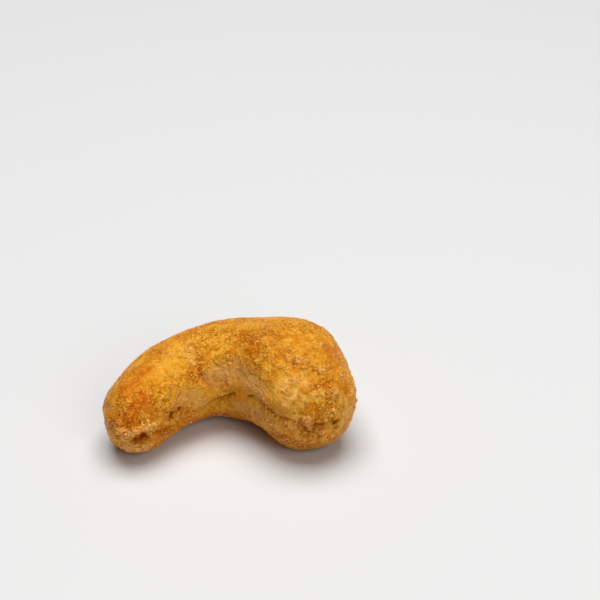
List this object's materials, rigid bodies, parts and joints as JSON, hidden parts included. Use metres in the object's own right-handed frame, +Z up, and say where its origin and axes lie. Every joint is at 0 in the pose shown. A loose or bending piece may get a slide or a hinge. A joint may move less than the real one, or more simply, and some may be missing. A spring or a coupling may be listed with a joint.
{
  "type": "roasted salted cashew nut",
  "caption": "Whole roasted and salted cashew kernel, a thick crescent with a seam round it, lying on its side.",
  "frame": {"origin": "centre of the kernel's bounding box, at the height of the surface it rests on", "axes": "+X along the kernel's length towards its broad end, +Y towards the convex back, +Z up, across its thickness"},
  "size_m": [0.026, 0.0166, 0.0117],
  "materials": {
    "roasted_kernel": null
  },
  "bodies": {
    "root": {"kernel": "roasted_kernel"}
  },
  "joints": []
}
